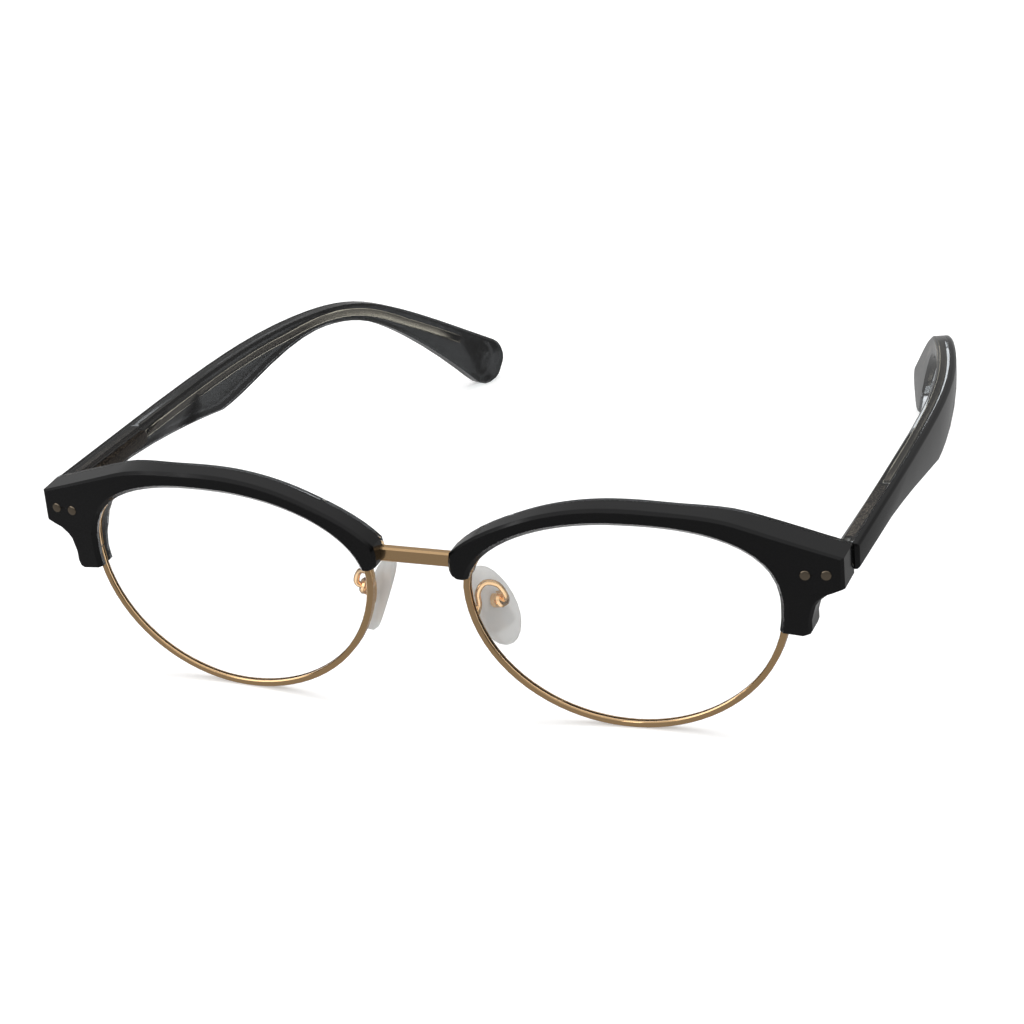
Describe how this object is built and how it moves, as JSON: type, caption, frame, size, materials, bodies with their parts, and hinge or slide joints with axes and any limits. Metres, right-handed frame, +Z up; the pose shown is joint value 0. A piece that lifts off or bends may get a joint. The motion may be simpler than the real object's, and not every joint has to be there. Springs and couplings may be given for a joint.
{
  "type": "browline glasses",
  "caption": "Browline glasses: metal rims under thick laminated brows, clear lenses, adjustable nose pads and folding temples with spring hinges.",
  "frame": {"origin": "centre of the bounding box's bottom face: on the ground under the middle of the opened glasses", "axes": "+Z up as the opened glasses stand on their rims and tips, -Y the way the front faces, +X to the wearer's left"},
  "size_m": [0.141, 0.1488, 0.0397],
  "materials": {
    "black_acetate": "polished black cellulose acetate",
    "clear_acetate": "clear cellulose acetate, polished",
    "gold_metal": "pale gold plated, satin",
    "rivet_metal": "silver plated, satin",
    "hinge_steel": "satin nickel silver",
    "core_wire": "bright drawn wire",
    "lens": "clear demo lens",
    "pad_silicone": "translucent silicone"
  },
  "bodies": {
    "front": {"rim_right": "gold_metal", "brow_right": "black_acetate", "brow_backing_right": "clear_acetate", "lens_right": "lens", "rim_lock_right": "gold_metal", "hinge_leaf_right": "hinge_steel", "pad_arm_right": "gold_metal", "pad_box_right": "gold_metal", "rim_left": "gold_metal", "brow_left": "black_acetate", "brow_backing_left": "clear_acetate", "lens_left": "lens", "rim_lock_left": "gold_metal", "hinge_leaf_left": "hinge_steel", "pad_arm_left": "gold_metal", "pad_box_left": "gold_metal", "bridge": "gold_metal", "rim_lock_screws": "hinge_steel", "brow_lugs": "gold_metal", "brow_screws": "hinge_steel", "front_rivets": "rivet_metal", "hinge_screws": "hinge_steel", "pad_screws": "gold_metal"},
    "pad_rocker_right": {"nose_pad_right": "pad_silicone", "pad_insert_right": "gold_metal"},
    "slider_right": {"hinge_slider_right": "hinge_steel", "spring_rod_right": "hinge_steel", "hinge_spring_right": "hinge_steel"},
    "temple_right": {"temple_outer_right": "black_acetate", "temple_inner_right": "clear_acetate", "core_wire_right": "core_wire", "spring_housing_right": "hinge_steel", "housing_plug_right": "hinge_steel"},
    "pad_rocker_left": {"nose_pad_left": "pad_silicone", "pad_insert_left": "gold_metal"},
    "slider_left": {"hinge_slider_left": "hinge_steel", "spring_rod_left": "hinge_steel", "hinge_spring_left": "hinge_steel"},
    "temple_left": {"temple_outer_left": "black_acetate", "temple_inner_left": "clear_acetate", "core_wire_left": "core_wire", "spring_housing_left": "hinge_steel", "housing_plug_left": "hinge_steel"}
  },
  "joints": [
    {"name": "pad_rock_right", "type": "hinge", "parent": "front", "child": "pad_rocker_right", "pos_m": [-0.01182, -0.06653, 0.01913], "axis": [0.4337, -0.8829, -0.1797], "range_deg": [-10, 10]},
    {"name": "fold_right", "type": "hinge", "parent": "front", "child": "slider_right", "pos_m": [-0.06575, -0.06122, 0.02976], "axis": [0, 0, -1], "range_deg": [0, 70]},
    {"name": "flex_right", "type": "slide", "parent": "slider_right", "child": "temple_right", "axis": [0, 1, 0], "range_m": [0, 0.0015], "stiffness_N_per_m": 2000, "springref_m": -0.0015},
    {"name": "pad_rock_left", "type": "hinge", "parent": "front", "child": "pad_rocker_left", "pos_m": [0.01182, -0.06653, 0.01913], "axis": [-0.4337, -0.8829, -0.1797], "range_deg": [-10, 10]},
    {"name": "fold_left", "type": "hinge", "parent": "front", "child": "slider_left", "pos_m": [0.06575, -0.06122, 0.02976], "axis": [0, 0, 1], "range_deg": [0, 82]},
    {"name": "flex_left", "type": "slide", "parent": "slider_left", "child": "temple_left", "axis": [0, 1, 0], "range_m": [0, 0.0015], "stiffness_N_per_m": 2000, "springref_m": -0.0015}
  ]
}
